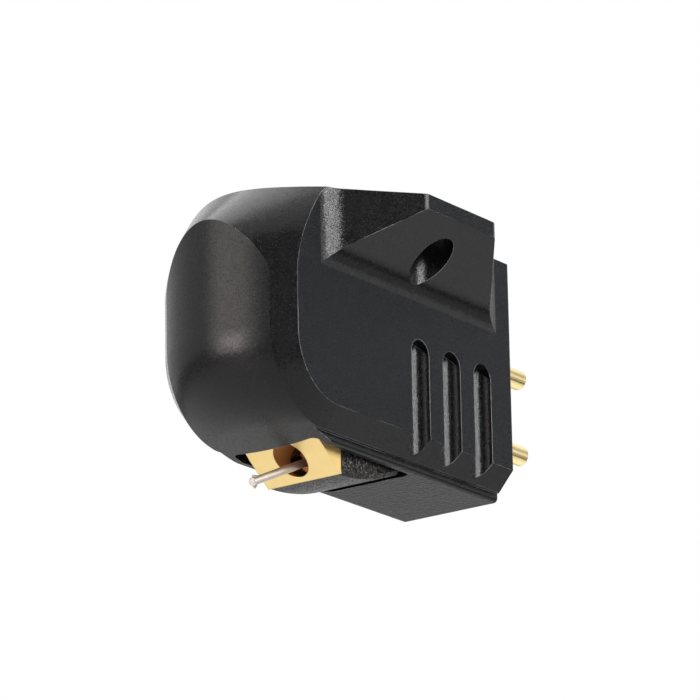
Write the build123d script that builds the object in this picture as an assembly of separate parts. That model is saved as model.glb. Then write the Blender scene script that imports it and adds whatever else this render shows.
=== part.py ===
from build123d import *
import math
import os

# Turntable stylus cartridge, moving-coil kind, in millimetres.
# Origin on the top mounting face, midway between the two mounting holes.
# +Z is up towards the headshell, the front looks along -Y, +X is the right side seen from the front.

# Mounting lugs
hole_spacing = 12.7
hole_radius = 1.3
lug_half_width = 8.6
lug_outer_front = 3.4
lug_outer_rear = 3.3
lug_root_front = 7.9
lug_root_rear = 8.1
lug_edge_thickness = 0.9
lug_root_depth = 4.0
lug_root_fillet = 2.1
lug_plan_fillet = 2.8
lug_corner_radius = 0.6

# Body block
body_half_width = 4.75
body_rear = 10.3
body_depth = 14.0
bevel_width = 1.05
bevel_depth = 1.2
nose_roll_radius = 4.9
nose_roll_y = -7.17
nose_ramp = 13.0
nose_bow = 1.25
arch_centre_z = -6.2
arch_height = 4.93
arch_slope = 0.88
arch_reach = 4.2
arch_clearance = 0.02
overrun = 0.6
sink = 0.02

# Side grooves, cut with a ball-nosed cutter
groove_count = 3
groove_radius = 0.87
groove_first_y = 0.93
groove_pitch = 3.13
groove_top = 6.95
groove_offset = 0.05

# Lower lip round the underside and the generator bay
lip_height = 0.5
lip_thickness = 0.5
lip_round = 0.28
lip_setback = 0.23
bay_front = -7.05
bay_rear = 2.2
bay_height = 4.8
bay_corner = 0.45

# Rear pocket with the terminal block and pins
pocket_wall = 1.5
pocket_top = -3.9
pocket_floor = 1.4
pocket_front = 4.2
pocket_corner = 0.8
block_front = 7.0
block_recess = 0.15
slot_half_width = 1.7
slot_floor = 1.6
pin_radius = 0.6
pin_end_bevel = 0.3
pin_shank_half = 0.35
pin_length = 4.25
pin_edge_gap = 0.75
pin_upper_drop = 1.95
pin_lower_rise = 2.0
pin_tail = 1.2
rear_edge_break = 0.15

# Generator: magnetic circuit and carrier, with heights counted from the flat underside of the body
generator_tilt = 14.0
pivot_y = -2.6
pivot_drop = 0.07
pole_side_gap = 0.37
front_pole_rear = -4.1
front_pole_drop = 1.75
front_pole_bore = 1.0
front_pole_mouth_y = -5.43
front_pole_mouth_drop = 0.74
carrier_side_gap = 0.3
carrier_rear = 1.6
carrier_rise = 1.6
carrier_belly = 0.3
carrier_edge_bevel = 0.25
yoke_front = 0.0
yoke_drop = 0.1
magnet_setback = 0.2
pole_pin_radius = 0.9
pole_pin_gap = 0.05
pole_pin_seat = 0.4
sleeve_radius = 0.3
sleeve_overhang = 0.4
wire_radius = 0.05
screw_radius = 0.3
screw_drive_radius = 0.15
screw_drive_depth = 0.4
board_half_width = 1.7
board_rise = 1.9
board_height = 1.8
board_thickness = 0.35
lead_radius = 0.12
lead_sides = 6
lead_bend = 0.35
lead_pitch = 0.8

# Moving system
cavity_radius = 1.1
damper_radius = 0.6
damper_half_length = 0.28
damper_bore = 0.1
hub_radius = 0.42
hub_length = 0.75
hub_bore = 0.11
arm_reach = 0.8
arm_width = 0.3
coil_inner_reach = 0.46
coil_outer_reach = 0.74
coil_build = 0.14
coil_corner = 0.1
cantilever_radius = 0.24
cantilever_wall = 0.07
cantilever_tip_bevel = 0.1
cantilever_tip_y = -9.15
cantilever_tip_drop = 2.87
cantilever_socket = 0.45
cantilever_plug = 0.9
stylus_half_width = 0.11
stylus_setback = 0.32
stylus_point_drop = 0.44
stylus_point_height = 0.17
stylus_flat = 0.02
stylus_top_stand = 0.1

far = 20.0


def box_between(x0, x1, y0, y1, z0, z1):
    """A box given by its two corners."""
    centre = ((x0 + x1) / 2, (y0 + y1) / 2, (z0 + z1) / 2)
    return Pos(*centre) * Box(abs(x1 - x0), abs(y1 - y0), abs(z1 - z0))


def along_y(radius, y0, y1, x, z):
    """A cylinder along Y between two stations."""
    return Pos(x, (y0 + y1) / 2, z) * Rot(90, 0, 0) * Cylinder(radius, abs(y1 - y0))


# Heights and widths that follow the body
underside_z = -body_depth
floor_z = underside_z - lip_height
nose_half_width = body_half_width - bevel_width
lip_half_width = nose_half_width - lip_setback
bay_half_width = lip_half_width - lip_thickness
bay_top = underside_z + bay_height
pocket_half_width = body_half_width - pocket_wall
pocket_bottom = underside_z + pocket_floor
slot_bottom = underside_z + slot_floor
pin_half_pitch_x = pocket_half_width - pin_edge_gap
pin_upper_z = pocket_top - pin_upper_drop
pin_lower_z = pocket_bottom + pin_lower_rise
pivot_z = underside_z - pivot_drop
pole_half_width = bay_half_width - pole_side_gap
front_pole_bottom = underside_z - front_pole_drop
front_pole_mouth_z = underside_z - front_pole_mouth_drop
carrier_half_width = bay_half_width - carrier_side_gap
carrier_top = underside_z + carrier_rise
yoke_bottom = underside_z - yoke_drop
magnet_half_width = pole_half_width - magnet_setback
board_bottom = underside_z + board_rise
board_top = board_bottom + board_height
cantilever_tip_z = underside_z - cantilever_tip_drop

# Axis of the generator: rises to the rear, through the pivot of the suspension
axis_dir = Vector(0, math.cos(math.radians(generator_tilt)), math.sin(math.radians(generator_tilt)))
pivot = Vector(0, pivot_y, pivot_z)


def on_axis(station):
    """Point on the generator axis, counted rearward from the pivot."""
    return pivot + axis_dir * station


def axis_plane(station):
    """Plane square to the generator axis, its local Z pointing to the rear."""
    return Plane(origin=on_axis(station), x_dir=(1, 0, 0), z_dir=axis_dir)


def axis_rod(radius, start, end):
    """Round rod on the generator axis between two stations."""
    return extrude(axis_plane(start) * Circle(radius), amount=end - start)


def axis_station_at_y(y):
    """Station at which the generator axis crosses a given Y."""
    return (y - pivot_y) / axis_dir.Y


# Nose: the front face is bowed in plan, rolls under and ends in a ramp that runs into the lip
nose_edge_y = nose_roll_y - nose_roll_radius
roll_centre_z = underside_z + nose_roll_radius
bow_radius = (nose_half_width ** 2 + nose_bow ** 2) / (2 * nose_bow)


def bow_shift(x):
    """How far the front face stands ahead of its own side edges at a given X."""
    return bow_radius - math.sqrt(bow_radius ** 2 - x ** 2) - nose_bow


def roll_arc(offset, end_angle):
    """The under-curving corner of the nose, offset inward and stopped short of its lowest point."""
    radius = nose_roll_radius - offset

    def point_at(angle):
        turn = math.radians(angle)
        return (nose_roll_y - radius * math.sin(turn), roll_centre_z - radius * math.cos(turn))

    return ThreePointArc(point_at(90), point_at((90 + end_angle) / 2), point_at(end_angle))


def nose_cutter():
    """Space ahead of and below the bowed front face and its ramp."""
    arc = roll_arc(0, nose_ramp)
    ramp_top = arc @ 1
    ramp_bottom = floor_z - overrun
    ramp_rear = ramp_top.X + (ramp_top.Y - ramp_bottom) / math.tan(math.radians(nose_ramp))
    outline = [
        arc,
        Polyline(
            ramp_top,
            (ramp_rear, ramp_bottom),
            (ramp_rear, -far),
            (-far, -far),
            (-far, far / 4),
            (nose_edge_y, far / 4),
            arc @ 0,
        ),
    ]
    section = make_face(outline)
    reach = min(body_half_width + overrun, bow_radius * 0.97)
    stations = [-reach, -reach / 2, 0, reach / 2, reach]
    return loft([Plane.YZ.offset(x) * Pos(bow_shift(x), 0) * section for x in stations])


def bevel_section(offset):
    """Side view of the block inside the bevel, open past the rear and the top."""
    arc = roll_arc(offset, 0)
    rear = body_rear + far
    outline = [
        arc,
        Polyline(arc @ 1, (rear, (arc @ 1).Y), (rear, far), ((arc @ 0).X, far), arc @ 0),
    ]
    return make_face(outline)


def bevel_cutter(side):
    """The 45 degree bevel along the front, the roll and the lower edge of one side."""
    slope = bevel_depth / bevel_width
    inner_x = nose_half_width - overrun
    outer_x = body_half_width + overrun
    inner = Plane.YZ.offset(side * inner_x) * bevel_section(-overrun * slope)
    outer = Plane.YZ.offset(side * outer_x) * bevel_section(bevel_depth + overrun * slope)
    keep = loft([inner, outer], ruled=True)
    block = box_between(side * inner_x, side * outer_x, -far, body_rear + 1, -far, 1)
    return block - keep


def arch_section(y):
    """Upright ellipse of the bevel over the front face, at one station along Y."""
    run = y - nose_edge_y
    half_width = nose_half_width + run * bevel_width / bevel_depth + arch_clearance
    half_height = arch_height + run * arch_slope
    return Plane(origin=(0, y, arch_centre_z), x_dir=(1, 0, 0), z_dir=(0, 1, 0)) * Ellipse(half_width, half_height)


def arch_cutter():
    """Bevel over the arched top of the front face, shaped as an elliptical cone."""
    front = nose_edge_y - nose_bow - overrun
    rear = nose_edge_y + arch_reach
    cone = loft([arch_section(front - overrun), arch_section(rear + overrun)], ruled=True)
    side = body_half_width + 1
    return box_between(-side, side, front, rear, arch_centre_z, 1) - cone


def lug(side):
    """One mounting ear: flared in plan, its underside sloping up to a thin outer edge."""
    root = body_half_width - sink
    inside = body_half_width - 1.0
    plan_run = lug_plan_fillet / 2
    root_turn = math.atan2(lug_half_width - root, lug_root_depth - lug_edge_thickness)
    section_run = lug_root_fillet * math.tan(root_turn / 2) + sink
    plan = Polyline(
        (inside, -lug_root_front - plan_run),
        (root, -lug_root_front - plan_run),
        (root, -lug_root_front),
        (lug_half_width, -lug_outer_front),
        (lug_half_width, lug_outer_rear),
        (root, lug_root_rear),
        (root, lug_root_rear + plan_run),
        (inside, lug_root_rear + plan_run),
        close=True,
    )
    plan = make_face(plan)
    outer_corners = plan.vertices().group_by(Axis.X)[-1]
    plan = fillet(outer_corners, lug_corner_radius)
    roots = plan.vertices().group_by(Axis.X)[1].sort_by(Axis.Y)[1:3]
    plan = fillet(roots, lug_plan_fillet)
    section = Polyline(
        (inside, 0),
        (lug_half_width + 1, 0),
        (lug_half_width + 1, -lug_edge_thickness),
        (lug_half_width, -lug_edge_thickness),
        (root, -lug_root_depth),
        (root, -lug_root_depth - section_run),
        (inside, -lug_root_depth - section_run),
        close=True,
    )
    section = make_face(section)
    crook = section.vertices().sort_by_distance((root, -lug_root_depth))[0]
    section = fillet(crook, lug_root_fillet)
    tall = extrude(plan, amount=-far)
    long = extrude(Plane.XZ * section, amount=far, both=True)
    ear = tall & long
    ear -= Pos(hole_spacing / 2, 0, 0) * Cylinder(hole_radius, 2 * far)
    return ear if side > 0 else mirror(ear, Plane.YZ)


def groove(side, index):
    """Vertical groove with a round bottom and a round top end, open at the lower bevel."""
    y = groove_first_y + index * groove_pitch
    x = side * (body_half_width + groove_offset)
    shaft = Pos(x, y, 0) * Cylinder(groove_radius, 2 * far)
    top_centre = -groove_top - groove_radius
    outline = [
        ThreePointArc((y + groove_radius, top_centre), (y, -groove_top), (y - groove_radius, top_centre)),
        Polyline(
            (y - groove_radius, top_centre),
            (y - groove_radius, -far),
            (y + groove_radius, -far),
            (y + groove_radius, top_centre),
        ),
    ]
    return shaft & extrude(Plane.YZ.offset(x) * make_face(outline), amount=groove_radius, both=True)


def rounded_hollow(half_width, y0, y1, z0, z1, radius):
    """Pocket milled from below or above: upright corners rounded."""
    hollow = box_between(-half_width, half_width, y0, y1, z0, z1)
    return fillet(hollow.edges().filter_by(Axis.Z), radius)


def lip(front):
    """Low strip under the whole body, its two long lower edges rounded."""
    top = underside_z + rear_edge_break + sink
    strip = box_between(-lip_half_width, lip_half_width, front, body_rear, floor_z, top)
    return fillet(strip.faces().sort_by(Axis.Z)[0].edges().filter_by(Axis.Y), lip_round)


def body_shell():
    """Machined aluminium body with its two ears, grooves, generator bay and rear pocket."""
    front = nose_edge_y - nose_bow - 1
    body = box_between(-body_half_width, body_half_width, front, body_rear, underside_z, 0)
    for side in (1, -1):
        body -= bevel_cutter(side)
    rear_outline = body.faces().sort_by(Axis.Y)[-1].edges()
    body = chamfer(rear_outline, rear_edge_break)
    body += lip(front)
    body -= nose_cutter()
    for side in (1, -1):
        for index in range(groove_count):
            body -= groove(side, index)
        body += lug(side)
    body -= arch_cutter()
    body -= rounded_hollow(bay_half_width, bay_front, bay_rear, -far, bay_top, bay_corner)
    pocket = box_between(
        -pocket_half_width, pocket_half_width, pocket_front, body_rear + 1, pocket_bottom, pocket_top
    )
    body -= fillet(pocket.edges().filter_by(Axis.Y), pocket_corner)
    body -= box_between(
        -slot_half_width, slot_half_width, bay_rear - 1, pocket_front + 1, slot_bottom, bay_top
    )
    return body


pin_places = {
    "left_hot": (-pin_half_pitch_x, pin_upper_z),
    "right_hot": (pin_half_pitch_x, pin_upper_z),
    "left_ground": (-pin_half_pitch_x, pin_lower_z),
    "right_ground": (pin_half_pitch_x, pin_lower_z),
}


def pin_shank(y0, y1, x, z):
    """Square shank of a pin, which keeps it from turning in the block."""
    return box_between(x - pin_shank_half, x + pin_shank_half, y0, y1, z - pin_shank_half, z + pin_shank_half)


def terminal_block():
    """Insulating block in the rear pocket that carries the four pins."""
    block = box_between(
        -pocket_half_width, pocket_half_width, block_front, body_rear - block_recess, pocket_bottom, pocket_top
    )
    block = fillet(block.edges().filter_by(Axis.Y), pocket_corner)
    for x, z in pin_places.values():
        block -= pin_shank(block_front - 1, body_rear + 1, x, z)
    return block


def terminal_pin(x, z):
    """Round pin with a bevelled outer end, its square shank running through the block to a solder tail."""
    block_face = body_rear - block_recess
    free = along_y(pin_radius, block_face, body_rear + pin_length, x, z)
    outer_end = free.faces().sort_by(Axis.Y)[-1].edges()
    free = chamfer(outer_end, pin_end_bevel)
    return free + pin_shank(block_front - pin_tail, block_face + pin_radius, x, z)


def front_pole_piece():
    """Front pole of the magnetic circuit: a block with a sloped lower face and a round bore."""
    slope = (front_pole_bottom - front_pole_mouth_z) / (front_pole_rear - front_pole_mouth_y)
    front_low = front_pole_bottom + slope * (bay_front - front_pole_rear)
    section = Polyline(
        (front_pole_rear, front_pole_bottom),
        (bay_front, front_low),
        (bay_front, bay_top),
        (front_pole_rear, bay_top),
        close=True,
    )
    block = extrude(Plane.YZ * make_face(section), amount=pole_half_width, both=True)
    mouth = Vector(0, front_pole_mouth_y, front_pole_mouth_z)
    bore = Plane(origin=mouth, x_dir=(1, 0, 0), z_dir=axis_dir) * Circle(front_pole_bore)
    return block - extrude(bore, amount=far / 2, both=True)


def generator_carrier():
    """Moulded carrier behind the front pole, its belly bulging below the body."""
    start = (front_pole_rear, front_pole_bottom)
    end = (carrier_rear, floor_z)
    middle = ((start[0] + end[0]) / 2, (start[1] + end[1]) / 2 - carrier_belly)
    outline = [
        ThreePointArc(start, middle, end),
        Polyline(
            end,
            (carrier_rear, yoke_bottom),
            (yoke_front, yoke_bottom),
            (yoke_front, carrier_top),
            (front_pole_rear, carrier_top),
            start,
        ),
    ]
    block = extrude(Plane.YZ * make_face(outline), amount=carrier_half_width, both=True)
    belly = block.faces().sort_by(Axis.Z)[0].edges().filter_by(GeomType.CIRCLE)
    block = chamfer(belly, carrier_edge_bevel)
    block -= axis_rod(cavity_radius, axis_station_at_y(front_pole_rear) - 1, damper_half_length + pole_pin_gap)
    return block - axis_rod(pole_pin_radius, 0, far)


yoke_rear = carrier_rear - sleeve_overhang / 4


def rear_yoke():
    """Rear plate of the magnetic circuit, bored for the pole pin, the sleeve and its screw."""
    plate = box_between(-pole_half_width, pole_half_width, yoke_front, yoke_rear, yoke_bottom, bay_top)
    plate -= axis_rod(pole_pin_radius, 0, pole_pin_end)
    plate -= axis_rod(sleeve_radius, 0, far)
    return plate - screw_bore()


pole_pin_end = axis_station_at_y(yoke_front + pole_pin_seat)


def pole_pin():
    """Round pole tip that carries the field from the yoke to the coils."""
    pin = axis_rod(pole_pin_radius, damper_half_length + pole_pin_gap, pole_pin_end)
    return pin - axis_rod(sleeve_radius, 0, far)


def magnet():
    """Block magnet between the front pole and the yoke, lying on the carrier."""
    return box_between(-magnet_half_width, magnet_half_width, front_pole_rear, yoke_front, carrier_top, bay_top)


sleeve_end = axis_station_at_y(yoke_rear) + sleeve_overhang


def suspension_sleeve():
    """Brass tube that grips the suspension wire inside the pole pin and yoke."""
    tube = axis_rod(sleeve_radius, damper_half_length + pole_pin_gap, sleeve_end)
    return tube - axis_rod(wire_radius, 0, far)


hub_rear = -damper_half_length - pole_pin_gap
hub_front = hub_rear - hub_length
hub_middle = (hub_rear + hub_front) / 2


def suspension_wire():
    """Fine steel wire on which the moving system pivots."""
    return axis_rod(wire_radius, hub_middle + pole_pin_gap * 2, sleeve_end)


screw_y = (yoke_front + pole_pin_seat + yoke_rear) / 2
screw_z = on_axis(axis_station_at_y(screw_y)).Z


def screw_bore():
    """Tapped hole for the clamping screw, from the right side of the yoke to the sleeve."""
    length = pole_half_width - sleeve_radius / 2
    middle = (pole_half_width + sleeve_radius / 2) / 2
    return Pos(middle, screw_y, screw_z) * Rot(0, 90, 0) * Cylinder(screw_radius, length)


def sleeve_screw():
    """Grub screw that clamps the sleeve in the yoke."""
    screw = screw_bore() - axis_rod(sleeve_radius, 0, far)
    socket = Pos(pole_half_width, screw_y, screw_z) * Rot(0, 90, 0)
    drive = extrude(socket * RegularPolygon(screw_drive_radius, 6), amount=screw_drive_depth, both=True)
    return screw - drive


def lead_board():
    """Small board behind the yoke where the coil ends meet the leads to the pins."""
    return box_between(
        -board_half_width, board_half_width, yoke_rear, yoke_rear + board_thickness, board_bottom, board_top
    )


def lead_wire(name):
    """Insulated lead from one pin tail, through the slot, to the lead board."""
    x, z = pin_places[name]
    side = math.copysign(1, x)
    place = 0.5 if z == pin_upper_z else 1.5
    board_x = side * place * lead_pitch
    board_z = (board_top + board_bottom) / 2
    tail = block_front - pin_tail
    turn = (pocket_front + tail) / 2
    route = FilletPolyline(
        (x, tail, z),
        (x, turn, z),
        (board_x, turn - lead_bend, board_z),
        (board_x, yoke_rear + board_thickness, board_z),
        radius=lead_bend,
    )
    start = Plane(origin=route @ 0, z_dir=route % 0)
    return sweep(start * RegularPolygon(lead_radius, lead_sides), path=route)


def damper_ring():
    """Rubber ring that centres and damps the moving system at its pivot."""
    ring = axis_rod(damper_radius, -damper_half_length, damper_half_length)
    return ring - axis_rod(damper_bore, -1, 1)


cantilever_root = on_axis(hub_front + cantilever_socket)
cantilever_end = Vector(0, cantilever_tip_y, cantilever_tip_z)
cantilever_dir = (cantilever_end - cantilever_root).normalized()


def cantilever_rod(radius, start, end):
    """Round rod on the cantilever axis, counted from its root."""
    plane = Plane(origin=cantilever_root + cantilever_dir * start, x_dir=(1, 0, 0), z_dir=cantilever_dir)
    return extrude(plane * Circle(radius), amount=end - start)


def arm_frame(quarter):
    """Frame of one former arm: local X runs outward, local Z along the generator axis."""
    return axis_plane(hub_middle) * Rot(0, 0, 45 + 90 * quarter)


def armature():
    """Cross-shaped coil former with a round hub, seated on the end of the cantilever."""
    former = axis_rod(hub_radius, hub_front, hub_rear)
    for quarter in range(4):
        former += arm_frame(quarter) * Pos(arm_reach / 2, 0, 0) * Box(arm_reach, arm_width, arm_width)
    former -= cantilever_rod(cantilever_radius, 0, far / 2)
    return former - axis_rod(hub_bore, hub_middle, 0)


def coil(quarter):
    """Fine copper winding on one arm of the former."""
    length = coil_outer_reach - coil_inner_reach
    size = arm_width + 2 * coil_build
    middle = Pos((coil_outer_reach + coil_inner_reach) / 2, 0, 0)
    winding = middle * Box(length, size, size)
    winding = chamfer(winding.edges().filter_by(Axis.X), coil_corner)
    return arm_frame(quarter) * (winding - middle * Box(2 * length, arm_width, arm_width))


cantilever_length = (cantilever_end - cantilever_root).length
stylus_seat = cantilever_root + cantilever_dir * (cantilever_length - stylus_setback)
stylus_point_z = stylus_seat.Z - stylus_point_drop


def stylus_tip():
    """Square-sectioned diamond with a four-sided point, set upright through the end of the cantilever."""
    shoulder_z = stylus_point_z + stylus_point_height
    top_z = stylus_seat.Z + cantilever_radius + stylus_top_stand
    half = stylus_half_width
    y = stylus_seat.Y
    shank = box_between(-half, half, y - half, y + half, shoulder_z, top_z)
    shoulder = Pos(0, y, shoulder_z) * Rectangle(2 * half, 2 * half)
    tip = Pos(0, y, stylus_point_z) * Rectangle(2 * stylus_flat, 2 * stylus_flat)
    return shank + loft([tip, shoulder], ruled=True)


def cantilever():
    """Drawn tube with a closed, rounded end that holds the diamond."""
    tube = cantilever_rod(cantilever_radius, 0, cantilever_length)
    tip_edge = tube.edges().filter_by(GeomType.CIRCLE).sort_by_distance(cantilever_end)[0]
    tube = chamfer(tip_edge, cantilever_tip_bevel)
    tube -= cantilever_rod(cantilever_radius - cantilever_wall, -1, cantilever_length - cantilever_plug)
    return tube - stylus_tip()


solids = {
    "body_shell": body_shell(),
    "terminal_block": terminal_block(),
    "front_pole_piece": front_pole_piece(),
    "generator_carrier": generator_carrier(),
    "magnet": magnet(),
    "rear_yoke": rear_yoke(),
    "pole_pin": pole_pin(),
    "suspension_sleeve": suspension_sleeve(),
    "suspension_wire": suspension_wire(),
    "sleeve_screw": sleeve_screw(),
    "lead_board": lead_board(),
    "damper_ring": damper_ring(),
    "armature": armature(),
    "coil_left_upper": coil(1),
    "coil_left_lower": coil(3),
    "coil_right_upper": coil(0),
    "coil_right_lower": coil(2),
    "cantilever": cantilever(),
    "stylus_tip": stylus_tip(),
}
for pin_name, (pin_x, pin_z) in pin_places.items():
    solids["pin_" + pin_name] = terminal_pin(pin_x, pin_z)
    solids["lead_" + pin_name] = lead_wire(pin_name)

os.makedirs("parts", exist_ok=True)
for node_name, solid in solids.items():
    export_step(solid, "parts/" + node_name + ".step")
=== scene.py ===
import bpy
import math
from mathutils import Matrix, Vector

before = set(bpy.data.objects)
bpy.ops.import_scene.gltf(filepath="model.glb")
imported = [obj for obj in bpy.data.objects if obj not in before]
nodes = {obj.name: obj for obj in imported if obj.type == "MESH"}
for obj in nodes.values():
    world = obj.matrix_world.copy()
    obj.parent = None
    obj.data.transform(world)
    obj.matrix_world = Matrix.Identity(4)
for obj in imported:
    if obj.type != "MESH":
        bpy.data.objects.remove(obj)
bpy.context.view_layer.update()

# The view: a long lens a little below the object, looking up at its front, right side and underside.
# The camera is turned by a degree, as the object sits slightly askew in the picture.
mm = 0.001
view_azimuth = math.radians(35.983)
view_elevation = math.radians(-17.333)
view_roll = math.radians(-1.088)
view_distance = 308.52 * mm
view_aim = Vector((0.4535, -0.0711, -6.962)) * mm
focal_length = 272.36
sensor_width = 36
nearest_seen = 10 * mm

view_back = Vector((
    math.sin(view_azimuth) * math.cos(view_elevation),
    -math.cos(view_azimuth) * math.cos(view_elevation),
    math.sin(view_elevation),
))
view_right = Vector((math.cos(view_azimuth), math.sin(view_azimuth), 0))
view_up = view_back.cross(view_right)
rolled_right = view_right * math.cos(view_roll) + view_up * math.sin(view_roll)
rolled_up = view_up * math.cos(view_roll) - view_right * math.sin(view_roll)

lens = bpy.data.cameras.new("camera")
lens.sensor_width = sensor_width
lens.lens = focal_length
lens.clip_start = nearest_seen
camera = bpy.data.objects.new("camera", lens)
turn = Matrix((rolled_right, rolled_up, view_back)).transposed()
camera.matrix_world = Matrix.Translation(view_aim + view_back * view_distance) @ turn.to_4x4()
bpy.context.scene.collection.objects.link(camera)
bpy.context.scene.camera = camera
bpy.context.scene.view_settings.view_transform = "Standard"

# The studio: a white tent over a pale matt table, lit by four lamp tubes on the right, three warm lamps
# in front, each wider and higher than the last, and a lamp above. The object also mirrors a painted glow,
# a pool of emission on the table that only reflections see, and painted cards: a dark one on the right,
# a grey one at the rear and a dark strip below.
table_z = -170 * mm
table_half = (2.5, 2.5)
table_patch = 0.2
table_dark = (0.55, 0.55, 0.55)
table_light = (0.59, 0.59, 0.59)
# Painted glow on the table, seen only in reflections: its centre, its full and its faded reach, and its
# colour.
pool_centre = (-0.22, 0.06, table_z)
pool_core = 0.12
pool_edge = 0.50
painted_glow_colour = (0.66, 0.66, 0.66)
no_glow = (0, 0, 0)
upward = (0, 0, 1)


class Socket:
    """A shader socket that can stand in a sum: each operator adds one Math node."""

    def __init__(self, tree, socket):
        self.tree = tree
        self.socket = socket

    def math(self, operation, first, second):
        maths = self.tree.nodes.new("ShaderNodeMath")
        maths.operation = operation
        for value, entry in zip((first, second), maths.inputs):
            if isinstance(value, Socket):
                self.tree.links.new(value.socket, entry)
            else:
                entry.default_value = value
        return Socket(self.tree, maths.outputs[0])

    def __add__(self, other):
        return self.math("ADD", self, other)

    def __radd__(self, other):
        return self.math("ADD", other, self)

    def __sub__(self, other):
        return self.math("SUBTRACT", self, other)

    def __rsub__(self, other):
        return self.math("SUBTRACT", other, self)

    def __mul__(self, other):
        return self.math("MULTIPLY", self, other)

    def __rmul__(self, other):
        return self.math("MULTIPLY", other, self)


class Finish:
    """A finish under construction: one node tree, with any node added by its type, settings and inputs."""

    def __init__(self, tree):
        self.tree = tree

    def add(self, kind, settings=None, inputs=None, output=0):
        node = self.tree.nodes.new(kind)
        for name, value in (settings or {}).items():
            setattr(node, name, value)
        for name, value in (inputs or {}).items():
            if isinstance(value, Socket):
                self.tree.links.new(value.socket, node.inputs[name])
            else:
                node.inputs[name].default_value = value
        return Socket(self.tree, node.outputs[output])

    def place(self):
        """Position on the piece, in metres."""
        return self.add("ShaderNodeTexCoord", output="Object")

    def facing(self):
        """Direction that the bare surface faces."""
        return self.add("ShaderNodeNewGeometry", output="Normal")

    def part(self, vector, axis):
        """One of the three numbers of a vector."""
        return self.add("ShaderNodeSeparateXYZ", inputs={"Vector": vector}, output=axis)

    def vectors(self, operation, first, second, output="Vector"):
        """Maths on two vectors; a result that is a number comes from the output called Value."""
        return self.add("ShaderNodeVectorMath", {"operation": operation}, {0: first, 1: second}, output)

    def spread(self, sizes):
        """Position counted in grains of the given sizes along the three axes."""
        scale = [1 / size for size in sizes]
        return self.add("ShaderNodeMapping", inputs={"Vector": self.place(), "Scale": scale})

    def noise(self, size, detail=2.0, stretch=(1, 1, 1)):
        """Even noise with grains of about the given size; stretch makes them longer along an axis."""
        grains = self.spread([size * factor for factor in stretch])
        return self.add("ShaderNodeTexNoise", inputs={"Vector": grains, "Scale": 1.0, "Detail": detail})

    def facets(self, size):
        """Height of small facets of the given size, each tilted its own way."""
        grains = self.spread([size] * 3)
        cell = {"Vector": grains, "Scale": 1.0}
        middle = self.add("ShaderNodeTexVoronoi", inputs=cell, output="Position")
        chance = self.add("ShaderNodeTexVoronoi", inputs=cell, output="Color")
        offset = self.vectors("SUBTRACT", grains, middle)
        tilt = self.vectors("SUBTRACT", chance, (0.5, 0.5, 0.5))
        return self.vectors("DOT_PRODUCT", offset, tilt, "Value")

    def ramp(self, value, low, high):
        """0 at low and 1 at high, smooth between and level beyond."""
        stretch = {"interpolation_type": "SMOOTHSTEP"}
        return self.add("ShaderNodeMapRange", stretch, {"Value": value, "From Min": low, "From Max": high})

    def mix(self, factor, first, second):
        """Colour between two others; the node's colour sockets go by number, as their names repeat."""
        values = {0: factor}
        for entry, colour in ((6, first), (7, second)):
            values[entry] = colour if isinstance(colour, Socket) else (*colour, 1)
        return self.add("ShaderNodeMix", {"data_type": "RGBA"}, values, output=2)

    def rounded(self, edge):
        """Normal of the surface with its edges rounded by a radius."""
        return self.add("ShaderNodeBevel", {"samples": 8}, {"Radius": edge})

    def edges(self, edge):
        """1 along the sharp edges, 0 on the open faces."""
        return 1 - self.vectors("DOT_PRODUCT", self.rounded(edge), self.facing(), "Value")

    def bump(self, height, depth, edge=0.0):
        """Surface relief of a given depth, on edges rounded by a given radius."""
        relief = {"Height": height, "Distance": depth, "Strength": 1.0}
        if edge:
            relief["Normal"] = self.rounded(edge)
        return self.add("ShaderNodeBump", inputs=relief)

    def seen_white(self):
        """1 for rays from the lens and from glossy or clear surfaces, 0 for the light on matt ones."""
        path = "ShaderNodeLightPath"
        rays = self.add(path, output="Is Camera Ray") + self.add(path, output="Is Glossy Ray")
        rays = rays + self.add(path, output="Is Transmission Ray")
        return self.add("ShaderNodeMath", {"operation": "MINIMUM"}, {0: rays, 1: 1.0})


def finish(name, build, **constants):
    """A named material: build gives the inputs that vary, constants are set on the shader itself."""
    material = bpy.data.materials.new(name)
    material.use_nodes = True
    tree = material.node_tree
    shader = tree.nodes["Principled BSDF"]
    for label, value in constants.items():
        shader.inputs[label.replace("_", " ")].default_value = value
    for label, value in build(Finish(tree)).items():
        tree.links.new(value.socket, shader.inputs[label])
    return material


def stage_plane(name, centre, facing, half_size, material):
    """A flat sheet of the studio, facing a direction."""
    half_width, half_height = half_size
    mesh = bpy.data.meshes.new(name)
    corners = [(-half_width, -half_height, 0), (half_width, -half_height, 0),
               (half_width, half_height, 0), (-half_width, half_height, 0)]
    mesh.from_pydata(corners, [], [(0, 1, 2, 3)])
    mesh.materials.append(material)
    sheet = bpy.data.objects.new(name, mesh)
    sheet.location = centre
    sheet.rotation_euler = Vector(facing).to_track_quat("Z", "Y").to_euler()
    bpy.context.scene.collection.objects.link(sheet)
    return sheet


def pale_table(kit):
    position = kit.add("ShaderNodeNewGeometry", output="Position")
    reach = kit.vectors("DISTANCE", position, pool_centre, "Value")
    mirrored = kit.add("ShaderNodeLightPath", output="Is Glossy Ray")
    # Painted glow: the table emits this pool only for glossy rays, so the object mirrors light that no
    # lamp gives.
    glow = (1 - kit.ramp(reach, pool_core, pool_edge)) * mirrored
    return {
        "Base Color": kit.mix(kit.noise(table_patch), table_dark, table_light),
        "Emission Color": kit.mix(glow, no_glow, painted_glow_colour),
    }


stage_plane("table_top", (0, 0, table_z), upward, table_half,
            finish("table_white", pale_table, Roughness=0.9, Emission_Strength=1.0))

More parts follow.
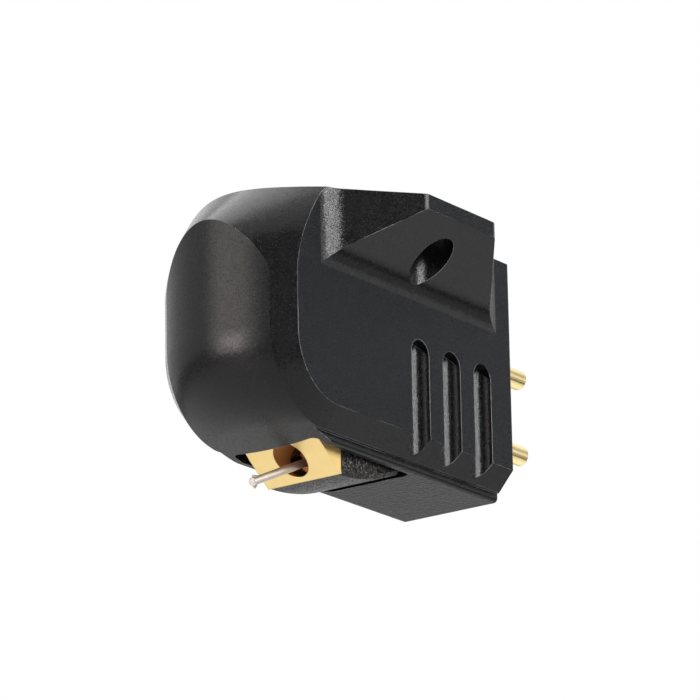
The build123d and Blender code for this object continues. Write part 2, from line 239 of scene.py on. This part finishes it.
paint_patch = 0.1
dark_card_way = Vector((0.81, -0.555, 0.15)).normalized()
dark_card_distance = 0.55
dark_card_half = (0.19, 0.60)
grey_card_way = Vector((0.56, 0.77, 0.36)).normalized()
grey_card_distance = 0.60
grey_card_half = (0.16, 0.13)
dark_strip_centre = (0.21, 0.36, table_z + 1 * mm)
dark_strip_half = (0.06, 0.20)


def painted(darker, lighter):
    """Matt paint that is slightly uneven."""

    def build(kit):
        return {"Base Color": kit.mix(kit.noise(paint_patch), darker, lighter)}

    return build


black_paint = finish("card_black", painted((0.006, 0.006, 0.007), (0.010, 0.010, 0.011)),
                     Roughness=1.0, Specular_IOR_Level=0.0)
grey_paint = finish("card_grey", painted((0.42, 0.46, 0.52), (0.46, 0.50, 0.56)),
                    Roughness=1.0, Specular_IOR_Level=0.0)
cards = [
    stage_plane("dark_card", view_aim + dark_card_way * dark_card_distance, -dark_card_way,
                dark_card_half, black_paint),
    stage_plane("grey_card", view_aim + grey_card_way * grey_card_distance, -grey_card_way,
                grey_card_half, grey_paint),
    stage_plane("dark_strip", dark_strip_centre, upward, dark_strip_half, black_paint),
]
for card in cards:
    card.visible_camera = False
    card.visible_shadow = False

lamp_distance = 0.50
plain_white = (1, 1, 1)
warm_white = (1.0, 0.90, 0.87)
tube_degrees = [-9, 1, 11, 21]
tube_rise = 0.31
tube_size = (0.03, 0.25)
tube_brightness = 28.0
front_lamp_side = -0.08
front_lamps = [
    {"size": (0.20, 0.16), "rise": 0.00, "brightness": 5.0},
    {"size": (0.34, 0.28), "rise": 0.09, "brightness": 2.4},
    {"size": (0.50, 0.40), "rise": 0.18, "brightness": 1.3},
]
top_lamp_way = (-0.15, 0.20, 0.97)
top_lamp_size = (0.40, 0.40)
top_lamp_brightness = 2.5
tent_light = 0.50


def soft_light(name, way, size, brightness, colour):
    """A soft lamp in a direction from the object; brightness is counted in times white."""
    width, height = size
    lamp = bpy.data.lights.new(name, "AREA")
    lamp.shape = "RECTANGLE"
    lamp.color = colour
    lamp.size = width
    lamp.size_y = height
    lamp.energy = brightness * math.pi * width * height
    light = bpy.data.objects.new(name, lamp)
    light.location = view_aim + Vector(way).normalized() * lamp_distance
    light.rotation_euler = Vector(way).to_track_quat("Z", "Y").to_euler()
    bpy.context.scene.collection.objects.link(light)


for number, degrees in enumerate(tube_degrees):
    tube_turn = math.radians(degrees)
    tube_way = (math.cos(tube_turn), math.sin(tube_turn), tube_rise)
    soft_light("right_tube_%d" % number, tube_way, tube_size, tube_brightness, plain_white)
for number, lamp in enumerate(front_lamps):
    front_way = (front_lamp_side, -1.0, lamp["rise"])
    soft_light("front_lamp_%d" % number, front_way, lamp["size"], lamp["brightness"], warm_white)
soft_light("top_lamp", top_lamp_way, top_lamp_size, top_lamp_brightness, plain_white)

world = bpy.data.worlds.new("tent")
world.use_nodes = True
bpy.context.scene.world = world
background = world.node_tree.nodes["Background"]
background.inputs["Color"].default_value = (*plain_white, 1)
tent_strength = tent_light + Finish(world.node_tree).seen_white() * (1 - tent_light)
world.node_tree.links.new(tent_strength.socket, background.inputs["Strength"])

# Body: one block of aluminium, milled to shape, blasted with fine beads and anodised black.
# The blasting leaves an even grain that sparkles where a lamp strikes, and a painted highlight runs along
# the edges in patches.
# The floor behind the generator is pitted more coarsely.
grain_size = 0.07 * mm
grain_range = (0.42, 0.62)
facet_size = 0.05 * mm
facet_depth = 0.0055 * mm
pit_size = 0.26 * mm
pit_share = 30.0
pit_front = -4 * mm
pit_rear = 0 * mm
floor_slope = (-0.80, -0.95)
patch_size = 2.5 * mm
# Painted highlight along the edges, in patches: the sizes of the patches, and below the edge radius, range
# and grey.
highlight_patch_size = 0.4 * mm
highlight_patch_spread = 4 * mm
highlight_patch_range = (0.35, 0.65)
edge_break = 0.06 * mm
highlight_edge = 0.04 * mm
highlight_edge_range = (0.006, 0.03)
deep_black = (0.0022, 0.0022, 0.0026)
faded_black = (0.0045, 0.0044, 0.0050)
edge_highlight_grey = (0.40, 0.40, 0.40)


def dress(material, *names):
    """Gives CAD nodes their finish."""
    for name in names:
        nodes[name].data.materials.clear()
        nodes[name].data.materials.append(material)


def blasted_black(kit):
    grain = kit.ramp(kit.noise(grain_size), *grain_range)
    highlight_patches = kit.noise(highlight_patch_size) * kit.ramp(kit.noise(highlight_patch_spread), *highlight_patch_range)
    # Painted highlight: light grey painted along the edges, broken into patches.
    painted_edge_highlight = kit.ramp(kit.edges(highlight_edge) * highlight_patches, *highlight_edge_range)
    black = kit.mix(kit.noise(patch_size), deep_black, faded_black)
    underside = kit.ramp(kit.part(kit.facing(), "Z"), *floor_slope)
    pitted = underside * kit.ramp(kit.part(kit.place(), "Y"), pit_front, pit_rear)
    pits = kit.noise(pit_size, detail=4.0) * pitted
    return {
        "Base Color": kit.mix(painted_edge_highlight, black, edge_highlight_grey),
        "Roughness": 0.11 + 0.17 * grain + 0.16 * underside,
        "Normal": kit.bump(kit.facets(facet_size) + pit_share * pits, facet_depth, edge_break),
    }


dress(finish("black_anodised", blasted_black, IOR=1.345), "body_shell")

# Terminal block: a moulded plate of black plastic, pressed into the rear pocket of the body.
# Its matt skin has a fine spark-eroded texture.
block_grain = 0.09 * mm
block_patch = 1.5 * mm
block_relief = 0.005 * mm
block_edge = 0.05 * mm
block_dark = (0.012, 0.012, 0.012)
block_light = (0.020, 0.020, 0.021)


def moulded_black(kit):
    skin = kit.noise(block_grain)
    return {
        "Base Color": kit.mix(kit.noise(block_patch), block_dark, block_light),
        "Roughness": 0.48 + 0.15 * skin,
        "Normal": kit.bump(skin, block_relief, block_edge),
    }


dress(finish("black_plastic", moulded_black), "terminal_block")

# Pins: four turned brass pins, plated with gold, standing out of the terminal block.
# Fine turning rings run round them, and their ends are coned.
pin_names = ["pin_left_hot", "pin_right_hot", "pin_left_ground", "pin_right_ground"]
ring_size = 0.05 * mm
ring_relief = 0.001 * mm
round_the_pin = (20, 1, 20)
pin_stain = 0.8 * mm
pin_edge = 0.06 * mm
pin_gold_dark = (0.96, 0.76, 0.36)
pin_gold_light = (1.0, 0.82, 0.42)


def plated_pin(kit):
    rings = kit.noise(ring_size, stretch=round_the_pin)
    return {
        "Base Color": kit.mix(kit.noise(pin_stain), pin_gold_dark, pin_gold_light),
        "Roughness": 0.20 + 0.10 * rings,
        "Normal": kit.bump(rings, ring_relief, pin_edge),
    }


dress(finish("gold_pin", plated_pin, Metallic=1.0), *pin_names)

# Leads: four fine wires in coloured plastic sleeves, soldered between the pins and the lead board.
# White and blue belong to the left channel, red and green to the right.
lead_colours = {
    "lead_left_hot": (0.75, 0.74, 0.70),
    "lead_right_hot": (0.55, 0.03, 0.02),
    "lead_left_ground": (0.03, 0.10, 0.45),
    "lead_right_ground": (0.03, 0.30, 0.08),
}
lead_shade = 0.8
lead_grain = 0.15 * mm


def sleeved(colour):
    """Coloured sleeve with a slightly uneven skin."""
    darker = [lead_shade * part for part in colour]

    def build(kit):
        skin = kit.noise(lead_grain)
        return {
            "Base Color": kit.mix(skin, darker, colour),
            "Roughness": 0.40 + 0.20 * skin,
        }

    return build


for lead_name, lead_colour in lead_colours.items():
    dress(finish("sleeve_of_" + lead_name, sleeved(lead_colour)), lead_name)

# Lead board: a scrap of glass-fibre board, glued to the back of the yoke.
# The weave of its fibres shows as a fine criss-cross.
fibre_size = 0.08 * mm
fibres_across = (6, 1, 1)
fibres_upright = (1, 1, 6)
board_dark = (0.16, 0.20, 0.07)
board_light = (0.34, 0.36, 0.16)


def fibre_board(kit):
    across = kit.noise(fibre_size, stretch=fibres_across)
    weave = across * kit.noise(fibre_size, stretch=fibres_upright)
    return {
        "Base Color": kit.mix(weave, board_dark, board_light),
        "Roughness": 0.35 + 0.20 * across,
    }


dress(finish("board_weave", fibre_board), "lead_board")

# Carrier: the moulded black part behind the front pole that holds the generator together.
# It is rough, with fine grains and pale specks, and lacquered brown where the bore of the pole runs on
# into it.
speck_size = 0.12 * mm
speck_range = (0.54, 0.72)
chip_size = 0.09 * mm
lump_size = 0.4 * mm
lump_share = 0.4
carrier_relief = 0.08 * mm
carrier_edge = 0.10 * mm
carrier_black = (0.006, 0.005, 0.005)
carrier_speck = (0.20, 0.18, 0.17)
carrier_lacquer = (0.16, 0.075, 0.025)
bore_reach = 1.02 * mm
bore_side = 1.06 * mm
bore_front = -2.4 * mm
bore_rear = -2.0 * mm
bore_low = -15.6 * mm
bore_high = -15.3 * mm


def rough_moulding(kit):
    grains = kit.noise(speck_size, detail=3.0)
    specked = kit.mix(kit.ramp(grains, *speck_range), carrier_black, carrier_speck)
    across = kit.part(kit.place(), "X")
    within = kit.ramp(across * across, bore_side ** 2, bore_reach ** 2)
    forward = kit.ramp(kit.part(kit.place(), "Y"), bore_rear, bore_front)
    raised = kit.ramp(kit.part(kit.place(), "Z"), bore_low, bore_high)
    relief = kit.facets(chip_size) + lump_share * kit.noise(lump_size)
    return {
        "Base Color": kit.mix(within * forward * raised, specked, carrier_lacquer),
        "Roughness": 0.20 + 0.25 * grains,
        "Normal": kit.bump(relief, carrier_relief, carrier_edge),
    }


dress(finish("carrier_black", rough_moulding, IOR=1.28), "generator_carrier")

# Front pole piece: a soft-iron block, ground flat, bored and plated with gold.
# Faint grinding lines run along its faces, its two sides are left matt,
# and the wall of the bore has a brown lacquer.
bore_way = Vector((0, 0.605, 0.796))
bore_mouth = bore_way.dot(Vector((0, -5.43, -14.74)) * mm)
lacquer_start = 0.02 * mm
lacquer_full = 0.06 * mm
side_slope = (0.6, 0.9)
pole_line = 0.04 * mm
pole_line_stretch = (25, 2, 2)
pole_line_depth = 0.001 * mm
pole_stain = 0.7 * mm
pole_edge = 0.08 * mm
pole_gold_dark = (0.655, 0.485, 0.20)
pole_gold_light = (0.715, 0.555, 0.25)
pole_lacquer = (0.62, 0.28, 0.09)


def plated_pole(kit):
    lines = kit.noise(pole_line, stretch=pole_line_stretch)
    gold = kit.mix(kit.noise(pole_stain), pole_gold_dark, pole_gold_light)
    depth = kit.vectors("DOT_PRODUCT", kit.place(), bore_way, "Value") - bore_mouth
    across = kit.part(kit.place(), "X")
    within = 1 - kit.ramp(across * across, bore_reach ** 2, bore_side ** 2)
    bore = kit.ramp(depth, lacquer_start, lacquer_full) * within
    sideways = kit.part(kit.facing(), "X")
    sides = kit.ramp(sideways * sideways, *side_slope) * (1 - bore)
    return {
        "Base Color": kit.mix(bore, gold, pole_lacquer),
        "Metallic": 1 - 0.6 * bore,
        "Roughness": 0.28 + 0.12 * lines + 0.42 * sides,
        "Normal": kit.bump(lines, pole_line_depth, pole_edge),
    }


dress(finish("gold_pole", plated_pole), "front_pole_piece")

# Magnet, yoke, pole pin and coil former: a nickel-plated block magnet and ground soft iron.
# The magnet, the yoke and the pin hold together by the magnet's own pull and a little glue,
# and the former, which carries the coils, rocks in front of the pin.
ground_line = 0.04 * mm
ground_line_stretch = (1, 1, 20)
ground_line_depth = 0.001 * mm
ground_edge = 0.05 * mm


def ground_metal(light, dark, roughness):
    """Metal with fine grinding lines."""

    def build(kit):
        lines = kit.noise(ground_line, stretch=ground_line_stretch)
        return {
            "Base Color": kit.mix(lines, dark, light),
            "Roughness": roughness + 0.15 * lines,
            "Normal": kit.bump(lines, ground_line_depth, ground_edge),
        }

    return build


nickel = ground_metal((0.62, 0.60, 0.56), (0.50, 0.48, 0.45), 0.22)
soft_iron = ground_metal((0.40, 0.40, 0.41), (0.28, 0.28, 0.29), 0.30)
dress(finish("nickel", nickel, Metallic=1.0), "magnet")
dress(finish("soft_iron", soft_iron, Metallic=1.0), "rear_yoke", "pole_pin", "armature")

# Sleeve, wire and screw: a drawn brass tube grips the suspension wire of spring steel,
# and a small steel grub screw in the yoke clamps the tube.
brass = ground_metal((0.80, 0.62, 0.30), (0.68, 0.50, 0.22), 0.22)
spring_steel = ground_metal((0.60, 0.60, 0.62), (0.46, 0.46, 0.48), 0.20)
dress(finish("brass", brass, Metallic=1.0), "suspension_sleeve")
dress(finish("spring_steel", spring_steel, Metallic=1.0), "suspension_wire", "sleeve_screw")

# Damper: a small moulded ring of black rubber, slipped over the suspension wire behind the coil former.
# The moving system rocks on it, and its skin is dull and slightly grained.
rubber_grain = 0.06 * mm
rubber_relief = 0.004 * mm
rubber_dark = (0.012, 0.012, 0.012)
rubber_light = (0.030, 0.029, 0.028)


def rubber(kit):
    skin = kit.noise(rubber_grain)
    return {
        "Base Color": kit.mix(skin, rubber_dark, rubber_light),
        "Roughness": 0.65 + 0.20 * skin,
        "Normal": kit.bump(skin, rubber_relief),
    }


dress(finish("damper_rubber", rubber), "damper_ring")

# Coils: enamelled copper wire, thinner than a hair, wound on the four arms of the former.
# Two coils belong to each channel, and lacquer holds the turns.
coil_names = ["coil_left_upper", "coil_left_lower", "coil_right_upper", "coil_right_lower"]
turn_size = 0.02 * mm
turn_relief = 0.004 * mm
copper_dark = (0.45, 0.16, 0.06)
copper_light = (0.80, 0.36, 0.16)


def wound_copper(kit):
    turns = kit.noise(turn_size, detail=1.0)
    return {
        "Base Color": kit.mix(turns, copper_dark, copper_light),
        "Roughness": 0.25 + 0.20 * turns,
        "Normal": kit.bump(turns, turn_relief),
    }


dress(finish("copper_winding", wound_copper, Metallic=1.0), *coil_names)

# Cantilever: a drawn aluminium tube, pressed into the former, that carries the diamond at its closed end.
# Fine drawing lines run along it.
drawn_line = 0.03 * mm
drawn_line_stretch = (1, 20, 8)
drawn_line_depth = 0.001 * mm
tube_edge = 0.03 * mm
tube_dark = (0.59, 0.53, 0.49)
tube_light = (0.73, 0.66, 0.61)


def drawn_tube(kit):
    lines = kit.noise(drawn_line, stretch=drawn_line_stretch)
    return {
        "Base Color": kit.mix(lines, tube_dark, tube_light),
        "Roughness": 0.42 + 0.14 * lines,
        "Normal": kit.bump(lines, drawn_line_depth, tube_edge),
    }


dress(finish("cantilever_metal", drawn_tube, Metallic=1.0), "cantilever")

# Stylus: a ground and polished diamond, set upright through the end of the tube and glued.
# Its stone is slightly clouded, and it bends light strongly.
cloud_size = 0.1 * mm
stone_dark = (0.20, 0.17, 0.14)
stone_light = (0.36, 0.31, 0.26)


def diamond(kit):
    cloud = kit.noise(cloud_size)
    return {
        "Base Color": kit.mix(cloud, stone_dark, stone_light),
        "Roughness": 0.08 + 0.08 * cloud,
    }


dress(finish("diamond", diamond, IOR=2.4), "stylus_tip")
